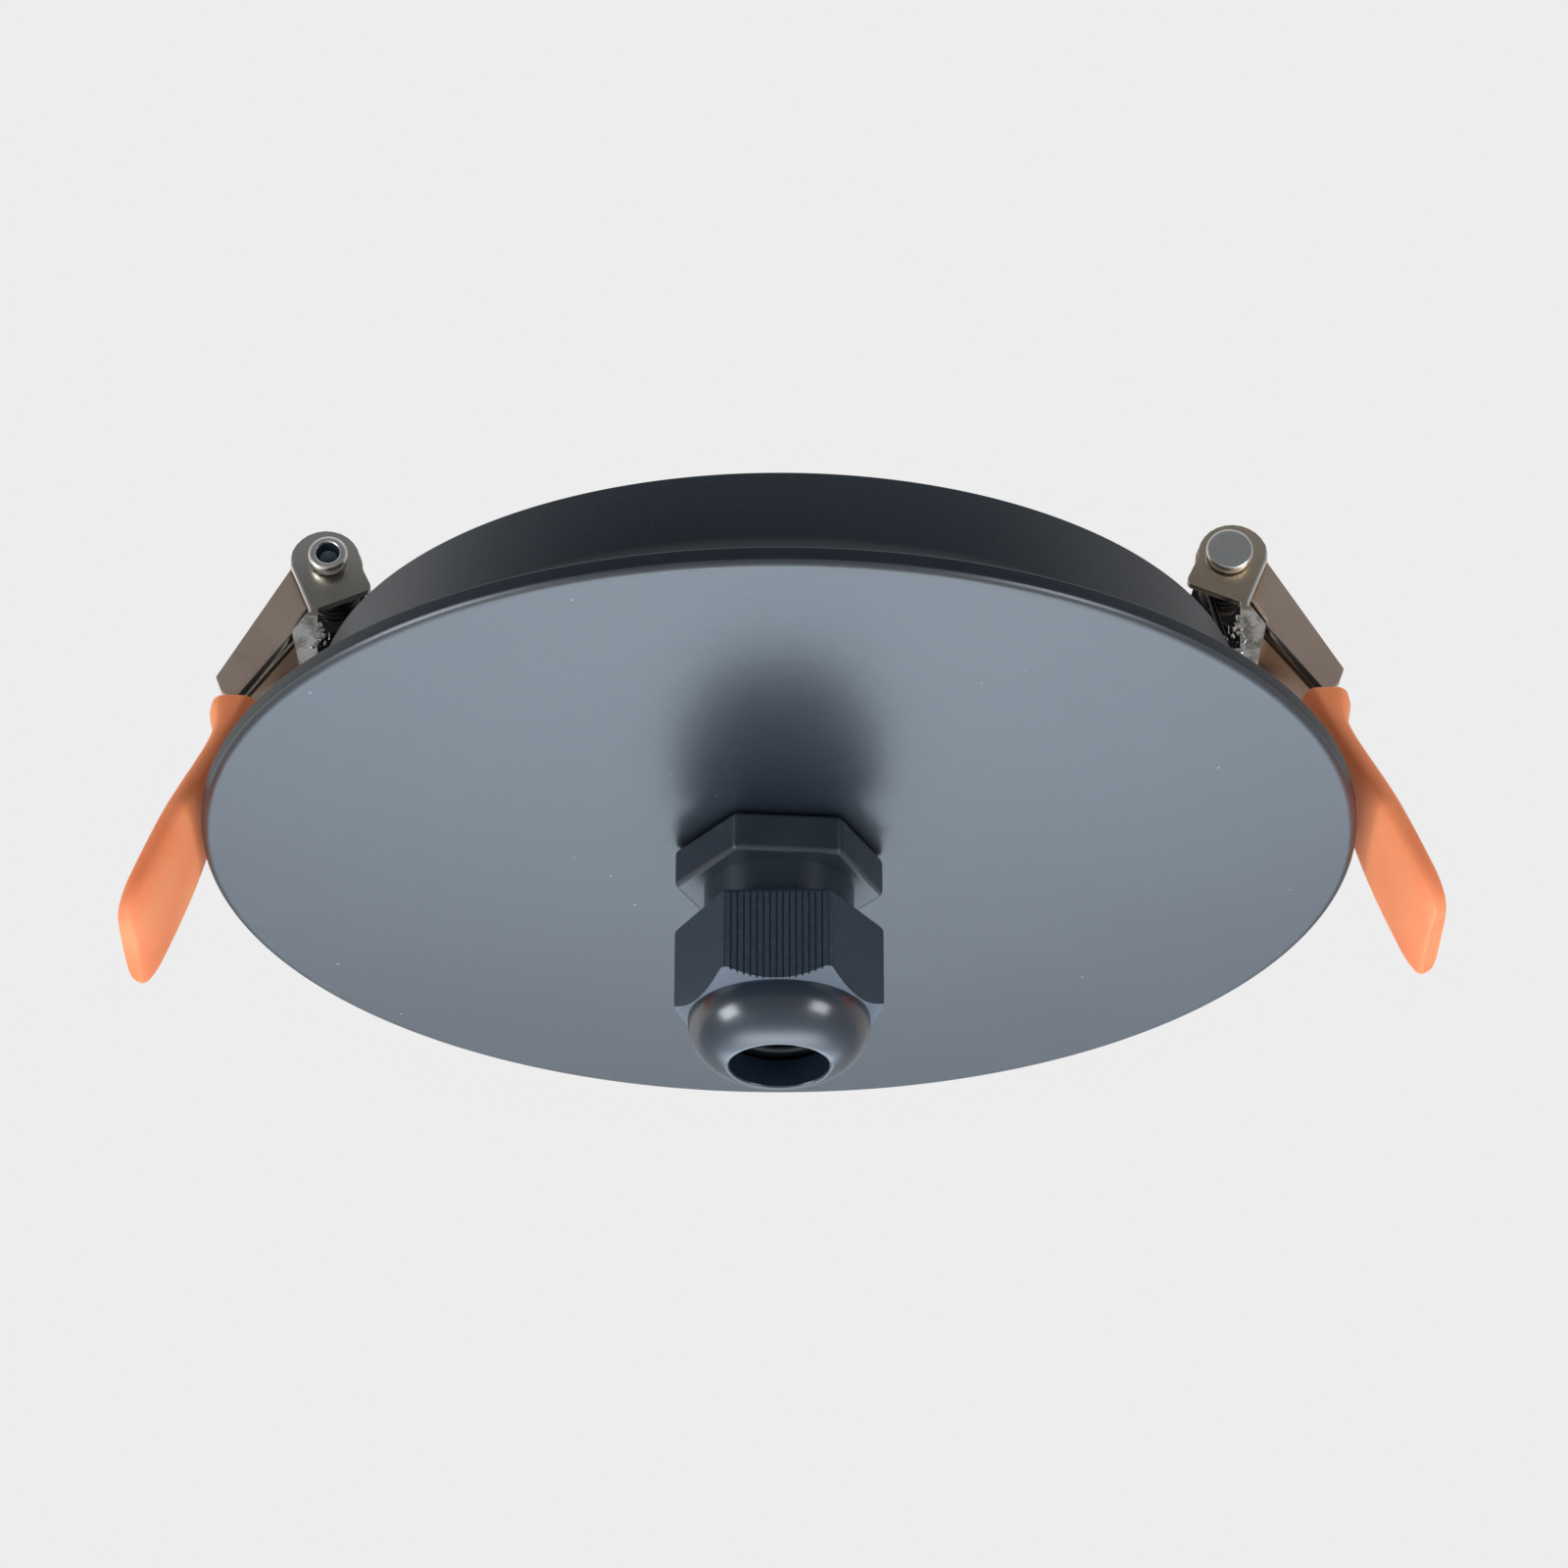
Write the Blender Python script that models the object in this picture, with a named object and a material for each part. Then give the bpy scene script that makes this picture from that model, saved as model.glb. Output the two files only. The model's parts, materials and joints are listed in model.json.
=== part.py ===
"""Recessed ceiling cover: a round steel face plate with a recess ring, a cable gland in its
centre and two sprung clips that hold it in a round hole of the ceiling.

Metres, +Z up. The origin is on the plate's axis in the plane where its back meets the ceiling.
The two clips are one design, turned by half a turn about Z.
"""
import math

import bmesh
import bpy
from mathutils import Matrix, Vector

# Play between pieces that touch
SEAT = 0.0003

# Recess ring, drawn from one sheet
RING_R = 0.0485
RING_H = 0.0148
RING_T = 0.0010
RING_BEND = 0.0016
RING_FLANGE_W = 0.0085

# Face plate, with a rim that covers the edge of the ceiling's hole
RIM_W = 0.0115
PLATE_R = RING_R + RIM_W
PLATE_T = 0.0020
PLATE_FACE_ROUND = 0.0009
PLATE_BACK_ROUND = 0.0004
# The seats of the ring and the gland are left uncoated, so they lie this much deeper
COAT_T = 0.00005

# Cable gland, built round its thread
THREAD_R = 0.0076
THREAD_UP = 0.0085
NUT_WALL = 0.0019
GLAND_AF = 2 * (THREAD_R + NUT_WALL)
GLAND_CORNER = 0.0006
FLANGE_H = 0.00435
FLANGE_TURN = math.radians(5.5)
NECK_STEP = 0.0002
NECK_R = THREAD_R + NECK_STEP
NECK_H = 0.0042
THREAD_IN_NUT = 0.0042
CLAW_L = 0.0052
CLAW_BEND = 0.0010
CLAW_TIP_R = THREAD_R - CLAW_BEND
CLAW_T = 0.0008
CLAW_COUNT = 8
CLAW_SLOT = 0.0010
BODY_WALL = 0.0026
GLAND_BORE_R = THREAD_R - BODY_WALL
SEAL_WALL = 0.0014
SEAL_DEEP = 0.0030
SEAL_LIP = 0.0020
NUT_HEX_H = 0.0104
NUT_TURN = math.radians(-1.6)
CLAW_RAMP = 0.0017
DOME_STEP = 0.0001
DOME_R = GLAND_AF / 2 - DOME_STEP
DOME_ARC = 0.0053
DOME_HOLE_R = GLAND_BORE_R + DOME_STEP
RIB_COUNT = 16
RIB_DEPTH = 0.00022
RIB_SHARE = 0.45
LOCKNUT_H = 0.0050
LOCKNUT_BEVEL = 0.6
LOCKNUT_TURN = math.radians(11)

# Spring clip, measured from its rivet
PIVOT_IN = 0.0009
PIVOT_OUT = RING_R - PIVOT_IN
PIVOT_UP = 0.0295
EAR_R = 0.0037
EAR_SHIFT = 0.0004
EAR_T = 0.0010
EAR_FACE = 0.0060
EAR_SPLAY = 0.0014
EAR_SIDE = 0.0033
EAR_REACH = 0.0057
EAR_NECK = 0.0059
EAR_NECK_IN = 0.0001
EAR_SOFT = 0.0006
FLANK_W = 0.0016
FLANK_MID = 0.0084
FLANK_LOW = 0.0125
FLANK_LOW_W = 0.0006
FLANK_END_W = 0.0003
FOOT_T = 0.0010
FOOT_TOP = 0.0085
FOOT_END = 0.0215
FOOT_BITE = 0.0002
RIVET_R = 0.0015
RIVET_HEAD_R = 0.0025
RIVET_HEAD_H = 0.0011
RIVET_TAIL_R = 0.0020
RIVET_TAIL_H = 0.0017
RIVET_HOLE_R = 0.0010
RIVET_HOLE_L = 0.0040
ARM_T = 0.0008
ARM_PLAY = 0.00035
ARM_FOLD = 0.0004
ARM_EDGE = 0.0035
RIM_CLEAR = 0.00543
WEB_START = 0.0084
WEB_BACK = 0.0015
WEB_SLOPE = math.radians(6.5)
ARM_SQUARE_END = 0.0171
ARM_END = 0.0190
ARM_HOOK_L = 0.0011
ARM_HOOK_STEP = 0.0003
ARM_HOOK_TOP = 0.0022
ARM_HOOK_ROOT = 0.0012
LUG_NECK = 0.0044
LUG_SOFT = 0.0008
TONGUE_HALF_W = 0.0040
TONGUE_END = 0.0420
BLADE_TURN = math.radians(10)
BLADE_SAG = 0.0006
SPRING_R = 0.0026
SPRING_WIRE_R = 0.0004
SPRING_TURNS = 5
SPRING_PITCH = 0.00095
SPRING_LEG = 0.0150
SPRING_LAP = 0.0030
SPRING_OFF = 0.0001
SLEEVE_WALL = 0.0004
SLEEVE_MOUTH = 0.0185
SLEEVE_TIP = 0.0470
SLEEVE_HALF_T = 0.00115
SLEEVE_HALF_W = 0.0051
FLARE_L = 0.0042
FLARE_T = 0.0011
FLARE_W = 0.0006
FLARE_OFF = 0.0004
MOUTH_SKEW = 0.55
PADDLE_START = 0.0020
PADDLE_L = 0.0170
PADDLE_HALF_T = 0.0015
PADDLE_HALF_W = 0.0098
PADDLE_ROUND = 0.0040
PADDLE_ROUND_W = 0.0030
PADDLE_ROUND_T = 0.0007

# Each clip's angle about Z, how far its arm leans further out, and how much higher it is welded
CLIPS = {"left": (math.pi, math.radians(0.0), 0.0), "right": (0.0, math.radians(0.9), 0.0008)}

FACE_Z = -PLATE_T
FLANGE_TOP = FACE_Z - SEAT
FLANGE_BOTTOM = FLANGE_TOP - FLANGE_H
NUT_TOP = FLANGE_BOTTOM - NECK_H
THREAD_BOTTOM = NUT_TOP - THREAD_IN_NUT
CLAW_BOTTOM = THREAD_BOTTOM - CLAW_L
NUT_CORNER_R = GLAND_AF / 2 / math.cos(math.pi / 6)
HEX_BOTTOM = NUT_TOP - NUT_HEX_H
RIVET_BORE = RIVET_R + SEAT
ARM_LEAN = math.atan2(PLATE_R + RIM_CLEAR - PIVOT_OUT, PIVOT_UP + PLATE_T)


def arc(cx, cz, radius, start, end, steps):
    """Points of an arc, angles in degrees."""
    return [(cx + radius * math.cos(math.radians(start + (end - start) * i / steps)),
             cz + radius * math.sin(math.radians(start + (end - start) * i / steps)))
            for i in range(steps + 1)]


def rounded(corners, steps=4):
    """Closed outline through (x, y) corners; a corner given as (x, y, radius) is rounded."""
    outline = []
    for i, corner in enumerate(corners):
        if len(corner) == 2:
            outline.append(corner)
            continue
        here = Vector(corner[:2])
        before = (Vector(corners[i - 1][:2]) - here).normalized()
        after = (Vector(corners[(i + 1) % len(corners)][:2]) - here).normalized()
        half = before.angle(after) / 2
        centre = here + (before + after).normalized() * corner[2] / math.sin(half)
        first = here + before * corner[2] / math.tan(half) - centre
        last = here + after * corner[2] / math.tan(half) - centre
        start = math.atan2(first.y, first.x)
        sweep = (math.atan2(last.y, last.x) - start + math.pi) % (2 * math.pi) - math.pi
        outline += [(centre.x + corner[2] * math.cos(start + sweep * k / steps),
                     centre.y + corner[2] * math.sin(start + sweep * k / steps)) for k in range(steps + 1)]
    return outline


def material(name, color, roughness, metallic):
    mat = bpy.data.materials.new(name)
    mat.use_nodes = True
    shader = mat.node_tree.nodes["Principled BSDF"]
    shader.inputs["Base Color"].default_value = (*color, 1.0)
    shader.inputs["Roughness"].default_value = roughness
    shader.inputs["Metallic"].default_value = metallic
    return mat


def add_object(name, bm, mat=None, parent=None, smooth=True):
    bmesh.ops.recalc_face_normals(bm, faces=bm.faces)
    mesh = bpy.data.meshes.new(name)
    bm.to_mesh(mesh)
    bm.free()
    if smooth:
        mesh.shade_smooth()
        mesh.set_sharp_from_angle(angle=math.radians(32))
    obj = bpy.data.objects.new(name, mesh)
    bpy.context.collection.objects.link(obj)
    obj.parent = parent
    if mat:
        mesh.materials.append(mat)
    return obj


def turned(profile, steps, closed=True):
    """Mesh of a profile of (radius, height) points revolved about Z."""
    bm = bmesh.new()
    verts = [bm.verts.new((r, 0, z)) for r, z in profile]
    edges = [bm.edges.new(pair) for pair in zip(verts, verts[1:])]
    if closed:
        edges.append(bm.edges.new((verts[-1], verts[0])))
    bmesh.ops.spin(bm, geom=verts + edges, cent=(0, 0, 0), axis=(0, 0, 1), angle=2 * math.pi,
                   steps=steps, use_merge=True)
    bmesh.ops.remove_doubles(bm, verts=bm.verts, dist=1e-7)
    return bm


def prism(outline, low, high, axis="Z"):
    """Outline extruded from low to high along Z, or along Y with the outline in X and Z."""
    bm = bmesh.new()
    if axis == "Z":
        verts = [bm.verts.new((x, y, low)) for x, y in outline]
        step = Vector((0, 0, high - low))
    else:
        verts = [bm.verts.new((x, low, z)) for x, z in outline]
        step = Vector((0, high - low, 0))
    face = bm.faces.new(verts)
    top = bmesh.ops.extrude_face_region(bm, geom=[face])
    bmesh.ops.translate(bm, vec=step, verts=[v for v in top["geom"] if isinstance(v, bmesh.types.BMVert)])
    return bm


def tool(name, bm, parent=None):
    obj = add_object(name, bm, parent=parent, smooth=False)
    obj.hide_render = True
    obj.display_type = "WIRE"
    return obj


def combine(target, other, operation):
    mod = target.modifiers.new(operation.title() + " " + other.name, "BOOLEAN")
    mod.operation = operation
    mod.solver = "EXACT"
    mod.object = other


def hexagon(across_flats, corner, ribbed=()):
    """Outline of a hexagon with a flat towards -Y, and fine grooves across the ribbed flats."""
    half_flat = across_flats / 2 * math.tan(math.pi / 6) - corner / 2
    pitch = 2 * half_flat / RIB_COUNT
    outline = []
    for side in range(6):
        flat = [(-half_flat, 0.0)]
        if side in ribbed:
            for i in range(RIB_COUNT):
                middle = -half_flat + (i + 0.5) * pitch
                wide = pitch * RIB_SHARE / 2
                flat += [(middle - wide, 0.0), (middle - wide / 2, RIB_DEPTH),
                         (middle + wide / 2, RIB_DEPTH), (middle + wide, 0.0)]
        flat.append((half_flat, 0.0))
        turn = Matrix.Rotation(side * math.pi / 3, 2)
        outline += [tuple(turn @ Vector((x, -across_flats / 2 + y))) for x, y in flat]
    return outline


def make_plate(mat):
    hole = THREAD_R + SEAT
    ring_seat, gland_seat = RING_R + SEAT, NUT_CORNER_R + SEAT
    back, face = PLATE_BACK_ROUND, PLATE_FACE_ROUND
    profile = arc(PLATE_R - back, -back, back, 90, 0, 2)
    profile += arc(PLATE_R - face, FACE_Z + face, face, 0, -90, 4)
    profile += [(gland_seat + COAT_T, FACE_Z), (gland_seat, FACE_Z + COAT_T), (hole, FACE_Z + COAT_T),
                (hole, -COAT_T), (ring_seat, -COAT_T), (ring_seat + COAT_T, 0.0)]
    return add_object("face_plate", turned(profile, 72), mat)


def make_ring(mat):
    low = SEAT
    top = low + RING_H
    inner = RING_BEND - RING_T
    centre = (RING_R - RING_BEND, low + RING_BEND)
    profile = [(RING_R - RING_T, top), (RING_R, top)]
    profile += arc(*centre, RING_BEND, 0, -90, 3)
    profile += [(RING_R - RING_FLANGE_W, low), (RING_R - RING_FLANGE_W, low + RING_T)]
    profile += arc(*centre, inner, -90, 0, 2)
    return add_object("recess_ring", turned(profile, 64), mat)


def make_gland_body(mat):
    seal_seat_r = CLAW_TIP_R - CLAW_T
    seal_top = THREAD_BOTTOM + SEAL_DEEP
    claw_root_r = THREAD_R - 2 * SEAT
    profile = [(GLAND_BORE_R, THREAD_UP), (THREAD_R - SEAT, THREAD_UP), (THREAD_R, THREAD_UP - SEAT),
               (THREAD_R, FLANGE_TOP - FLANGE_H / 2), (NECK_R, FLANGE_TOP - FLANGE_H / 2),
               (NECK_R, THREAD_BOTTOM + SEAT), (claw_root_r, THREAD_BOTTOM), (CLAW_TIP_R, CLAW_BOTTOM),
               (seal_seat_r, CLAW_BOTTOM), (seal_seat_r, seal_top), (GLAND_BORE_R, seal_top)]
    body = add_object("gland_body", turned(profile, 40), mat)

    flange = prism(hexagon(GLAND_AF, GLAND_CORNER), FLANGE_BOTTOM, FLANGE_TOP)
    flange_tool = tool("flange_blank", flange)
    flange_tool.rotation_euler.z = FLANGE_TURN
    flange_bore = tool("flange_bore", turned([((GLAND_BORE_R + THREAD_R) / 2, FLANGE_TOP + SEAT),
                                              ((GLAND_BORE_R + THREAD_R) / 2, FLANGE_BOTTOM - SEAT),
                                              (0, FLANGE_BOTTOM - SEAT), (0, FLANGE_TOP + SEAT)], 40))
    combine(flange_tool, flange_bore, "DIFFERENCE")
    combine(body, flange_tool, "UNION")

    for i in range(CLAW_COUNT // 2):
        slot = bmesh.new()
        bmesh.ops.create_cube(slot, size=1.0, matrix=Matrix.Rotation(i * 2 * math.pi / CLAW_COUNT, 4, "Z")
                              @ Matrix.Translation((0, 0, CLAW_BOTTOM))
                              @ Matrix.Diagonal((4 * NECK_R, CLAW_SLOT, 2 * (CLAW_L - 2 * SEAT), 1)))
        combine(body, tool("claw_slot_%d" % (i + 1), slot), "DIFFERENCE")
    return body


def make_locknut(mat):
    locknut = add_object("gland_locknut", prism(hexagon(GLAND_AF, GLAND_CORNER), SEAT, SEAT + LOCKNUT_H),
                         mat, smooth=False)
    wide = NUT_CORNER_R + SEAT
    edge = GLAND_AF / 2 - SEAT
    top = SEAT + LOCKNUT_H
    envelope = tool("locknut_bevel", turned([(THREAD_R + SEAT, top), (edge, top),
                                             (wide, top - (NUT_CORNER_R - edge) * LOCKNUT_BEVEL),
                                             (wide, SEAT), (THREAD_R + SEAT, SEAT)], 40))
    combine(locknut, envelope, "INTERSECT")
    locknut.rotation_euler.z = LOCKNUT_TURN
    return locknut


def make_seal(mat):
    outer = CLAW_TIP_R - CLAW_T - SEAT
    lip = CLAW_TIP_R - SEAT
    top = THREAD_BOTTOM + SEAL_DEEP - SEAT
    lip_top = CLAW_BOTTOM - SEAT
    bottom = HEX_BOTTOM - SEAL_LIP
    inner = outer - SEAL_WALL
    profile = [(inner + SEAT, top), (outer - SEAT, top), (outer, top - SEAT), (outer, lip_top), (lip, lip_top),
               (lip, bottom + 2 * SEAT), (lip - SEAT, bottom), (inner + SEAT, bottom),
               (inner, bottom + SEAT), (inner, top - SEAT)]
    return add_object("gland_seal", turned(profile, 28), mat)


def make_dome_nut(mat):
    dome_z = HEX_BOTTOM - SEAT
    seal_floor = HEX_BOTTOM - SEAL_LIP - SEAT
    nut = add_object("gland_dome_nut", prism(hexagon(GLAND_AF, GLAND_CORNER, ribbed=(0, 2, 4)),
                                             dome_z - 2 * DOME_ARC, NUT_TOP), mat, smooth=False)
    nut.rotation_euler.z = NUT_TURN
    wide = NUT_CORNER_R + SEAT
    dome_end = 90 - math.degrees(math.asin((DOME_HOLE_R + SEAT - DOME_R + DOME_ARC) / DOME_ARC))
    bore = NECK_R + SEAT
    seal_room = CLAW_TIP_R + SEAT
    profile = [(bore, NUT_TOP + SEAT), (wide, NUT_TOP + SEAT),
               (wide, HEX_BOTTOM + wide - DOME_R), (DOME_R, HEX_BOTTOM)]
    profile += arc(DOME_R - DOME_ARC, dome_z, DOME_ARC, 0, -dome_end, 8)
    low = profile[-1][1]
    profile += [(DOME_HOLE_R, low + SEAT), (DOME_HOLE_R, seal_floor), (seal_room, seal_floor),
                (seal_room, CLAW_BOTTOM - SEAT), (bore, CLAW_BOTTOM + CLAW_RAMP)]
    envelope = tool("nut_envelope", turned(profile, 40))
    combine(nut, envelope, "INTERSECT")
    nut.data.shade_smooth()
    nut.data.set_sharp_from_angle(angle=math.radians(32))
    return nut


def make_bracket(name, mat, parent):
    """Two ears on a foot that is curved to the ring's wall."""
    wall = RING_R + SEAT - PIVOT_OUT - FOOT_BITE
    flank = wall + FOOT_T
    ear = rounded(arc(EAR_SHIFT, 0, EAR_R, -8, 184, 14) + [
        (-EAR_R - EAR_SPLAY + EAR_SHIFT, -EAR_SIDE, EAR_SOFT), (wall, -EAR_REACH), (wall, -FOOT_END),
        (flank + FLANK_END_W, -FOOT_END), (flank + FLANK_LOW_W, -FLANK_LOW, 2 * EAR_SOFT),
        (flank + FLANK_W, -FLANK_MID, EAR_SOFT), (flank - EAR_NECK_IN, -EAR_NECK, EAR_SOFT)])
    bracket = add_object(name, prism(ear, EAR_FACE - EAR_T, EAR_FACE, "Y"), mat, parent, smooth=False)
    far_ear = tool(name + "_far_ear", prism(ear, -EAR_FACE, EAR_T - EAR_FACE, "Y"), parent)

    spread = math.degrees(math.asin((EAR_FACE - EAR_T / 2) / (RING_R + SEAT)))
    inside = arc(-PIVOT_OUT, 0, RING_R + SEAT, -spread, spread, 12)
    outside = arc(-PIVOT_OUT, 0, RING_R + SEAT + FOOT_T, spread, -spread, 12)
    foot = tool(name + "_foot", prism(inside + outside, -FOOT_END, -FOOT_TOP), parent)
    bore = tool(name + "_bore", turned([(RIVET_BORE, EAR_FACE + EAR_T), (RIVET_BORE, -EAR_FACE - EAR_T),
                                        (0, -EAR_FACE - EAR_T), (0, EAR_FACE + EAR_T)], 20), parent)
    bore.rotation_euler.x = math.pi / 2
    combine(bracket, foot, "UNION")
    combine(bracket, far_ear, "UNION")
    combine(bracket, bore, "DIFFERENCE")
    return bracket


def make_rivet(name, mat, parent):
    """Semi-tubular rivet along Y, head towards -Y."""
    seat = EAR_FACE + SEAT
    head = seat + RIVET_HEAD_H
    tail = seat + RIVET_TAIL_H
    soft = 0.0003
    roll = 0.0005
    profile = [(0, head)] + arc(RIVET_HEAD_R - soft, head - soft, soft, 90, 0, 2)
    profile += [(RIVET_HEAD_R, seat), (RIVET_R, seat), (RIVET_R, -seat)]
    profile += [(RIVET_TAIL_R, -seat - soft)]
    profile += arc(RIVET_TAIL_R - roll, -tail + roll, roll, 0, -90, 3)
    profile += [(RIVET_HOLE_R + soft, -tail), (RIVET_HOLE_R, -tail + soft),
                (RIVET_HOLE_R, -tail + RIVET_HOLE_L), (0, -tail + RIVET_HOLE_L + RIVET_HOLE_R / 2)]
    rivet = add_object(name, turned(profile, 20, closed=False), mat, parent)
    rivet.rotation_euler.x = math.pi / 2
    return rivet


def web_height(a):
    """Outer face of the arm's web over the arm's axis, at the distance a from the rivet."""
    return -WEB_BACK + (a - WEB_START) * math.tan(WEB_SLOPE)


def smooth_step(t):
    t = min(1.0, max(0.0, t))
    return t * t * (3 - 2 * t)


def blade_line(a):
    """Middle of the blade and its sleeve over the arm's axis: on with the web, turned in, then curled."""
    past = max(0.0, a - ARM_END)
    return (web_height(min(a, ARM_END)) + ARM_T / 2 - math.tan(BLADE_TURN) * past
            + BLADE_SAG * (past / (SLEEVE_TIP - ARM_END)) ** 2)


def make_arm(name, mat, parent):
    """Channel arm along local X, open towards +Z, with two lugs at the rivet and a flat blade."""
    half = EAR_FACE - EAR_T - ARM_PLAY
    fold = ARM_T + ARM_FOLD
    deep = 2 * ARM_EDGE
    outer = arc(-half + fold, fold, fold, 180, 270, 5) + arc(half - fold, fold, fold, -90, 0, 5)
    inner = (arc(half - fold, fold, ARM_FOLD, 0, -90, 4)
             + arc(-half + fold, fold, ARM_FOLD, 270, 180, 4))
    section = [(-half, deep)] + outer + [(half, deep), (half - ARM_T, deep)] + inner + [(ARM_T - half, deep)]
    channel = prism(section, 0.0, ARM_END - WEB_START + ARM_T)
    lay = Matrix(((0, 0, 1, 0), (1, 0, 0, 0), (0, 1, 0, 0), (0, 0, 0, 1)))
    bmesh.ops.transform(channel, verts=channel.verts, matrix=Matrix.Translation((WEB_START, 0, -WEB_BACK))
                        @ Matrix.Rotation(-WEB_SLOPE, 4, "Y") @ lay)
    arm = add_object(name, channel, mat, parent, smooth=False)

    hook = ARM_SQUARE_END + ARM_HOOK_L
    side = [(WEB_START - ARM_T, -deep), (ARM_END, -deep), (ARM_END, web_height(ARM_END) + ARM_T),
            (hook + ARM_HOOK_STEP, ARM_HOOK_ROOT), (hook, ARM_HOOK_TOP),
            (ARM_SQUARE_END, ARM_EDGE), (WEB_START - ARM_T, ARM_EDGE)]
    outline = tool(name + "_outline", prism(side, -2 * half, 2 * half, "Y"), parent)
    combine(arm, outline, "INTERSECT")

    lug_end = WEB_START + ARM_T
    free_edge = web_height(lug_end) + fold
    lug = rounded(arc(0, 0, ARM_EDGE, 90, 250, 14) + [
        (LUG_NECK, free_edge, LUG_SOFT), (lug_end, free_edge), (lug_end, ARM_EDGE)])
    for word, low, high in (("near", -half, ARM_T - half), ("far", half - ARM_T, half)):
        combine(arm, tool("%s_%s_lug" % (name, word), prism(lug, low, high, "Y"), parent), "UNION")

    stretch = TONGUE_END - ARM_SQUARE_END
    line = [ARM_SQUARE_END + stretch * i / 16 for i in range(17)]
    top = [(a, blade_line(a) + ARM_T / 2) for a in line]
    bottom = [(a, blade_line(a) - ARM_T / 2) for a in reversed(line)]
    blade = prism(top + bottom, -TONGUE_HALF_W, TONGUE_HALF_W, "Y")
    combine(arm, tool(name + "_blade", blade, parent), "UNION")
    bore = tool(name + "_bore", turned([(RIVET_BORE, 2 * half), (RIVET_BORE, -2 * half),
                                        (0, -2 * half), (0, 2 * half)], 20), parent)
    bore.rotation_euler.x = math.pi / 2
    combine(arm, bore, "DIFFERENCE")
    return arm


def make_spring(name, mat, parent, lean):
    """Torsion spring round the rivet: one leg bears in the arm's channel, the other on the foot."""
    foot_end = Vector((RING_R + SEAT - PIVOT_OUT - SEAT - SPRING_WIRE_R - SPRING_OFF, -FOOT_TOP - SPRING_LAP))
    swing = ARM_LEAN + lean
    bear = web_height(SPRING_LEG) + ARM_T + SEAT + SPRING_WIRE_R
    arm_end = (Vector((math.sin(swing), -math.cos(swing))) * SPRING_LEG
               + Vector((math.cos(swing), math.sin(swing))) * bear)
    begin = math.atan2(foot_end.y, foot_end.x) - math.acos(SPRING_R / foot_end.length)
    end = math.atan2(arm_end.y, arm_end.x) + math.acos(SPRING_R / arm_end.length)
    sweep = (begin - end) % (2 * math.pi) + 2 * math.pi * (SPRING_TURNS - 1)
    span = sweep / (2 * math.pi) * SPRING_PITCH
    steps = SPRING_TURNS * 10
    path = [(foot_end.x, -span / 2, foot_end.y)]
    for i in range(steps + 1):
        angle = begin - sweep * i / steps
        path.append((SPRING_R * math.cos(angle), span * (i / steps - 0.5), SPRING_R * math.sin(angle)))
    path.append((arm_end.x, span / 2, arm_end.y))

    curve = bpy.data.curves.new(name, "CURVE")
    curve.dimensions = "3D"
    curve.bevel_depth = SPRING_WIRE_R
    curve.bevel_resolution = 1
    curve.use_fill_caps = True
    spline = curve.splines.new("POLY")
    spline.points.add(len(path) - 1)
    for point, place in zip(spline.points, path):
        point.co = (*place, 1.0)
    curve.materials.append(mat)
    spring = bpy.data.objects.new(name, curve)
    bpy.context.collection.objects.link(spring)
    spring.parent = parent
    return spring


def sleeve_ring(bm, a, middle, half_t, half_w, skew, count=20, power=3.6):
    """Ring of points round a rounded oblong section, which leans along the arm by its skew."""
    ring = []
    for i in range(count):
        angle = 2 * math.pi * i / count
        c, s = math.cos(angle), math.sin(angle)
        y = half_w * math.copysign(abs(c) ** (2 / power), c)
        z = half_t * math.copysign(abs(s) ** (2 / power), s)
        ring.append(bm.verts.new((a + skew * z, y, middle + z)))
    return ring


def make_sleeve(name, mat, parent):
    """Flared mouth, narrow neck and a wide flat paddle with a rounded, closed end."""
    stations = []
    length = SLEEVE_TIP - PADDLE_ROUND - SLEEVE_MOUTH
    for share in (0.0, 0.04, 0.09, 0.16, 0.25, 0.37, 0.50, 0.64, 0.81, 1.0):
        past = length * share
        flare = 1 - smooth_step(past / FLARE_L)
        paddle = smooth_step((past - PADDLE_START) / PADDLE_L)
        stations.append((SLEEVE_MOUTH + past, blade_line(SLEEVE_MOUTH + past) + FLARE_OFF * flare,
                         SLEEVE_HALF_T + FLARE_T * flare + (PADDLE_HALF_T - SLEEVE_HALF_T) * paddle,
                         SLEEVE_HALF_W + FLARE_W * flare + (PADDLE_HALF_W - SLEEVE_HALF_W) * paddle,
                         MOUTH_SKEW * flare))
    last_a, _, last_t, last_w, _ = stations[-1]
    ends = []
    for k in range(1, 6):
        angle = math.radians(18 * k - 4)
        shrink = 1 - math.cos(angle)
        a = last_a + PADDLE_ROUND * math.sin(angle)
        ends.append((a, blade_line(a), last_t - PADDLE_ROUND_T * shrink, last_w - PADDLE_ROUND_W * shrink, 0.0))
    bm = bmesh.new()
    outer = [sleeve_ring(bm, *station) for station in stations + ends]
    inner = [sleeve_ring(bm, a, mid, t - SLEEVE_WALL, w - SLEEVE_WALL, skew)
             for a, mid, t, w, skew in stations]
    for rings in (outer, inner, [outer[0], inner[0]]):
        for one, two in zip(rings, rings[1:]):
            for i in range(len(one)):
                j = (i + 1) % len(one)
                bm.faces.new((one[i], one[j], two[j], two[i]))
    bm.faces.new(outer[-1])
    bm.faces.new(inner[-1])
    return add_object(name, bm, mat, parent)


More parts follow.
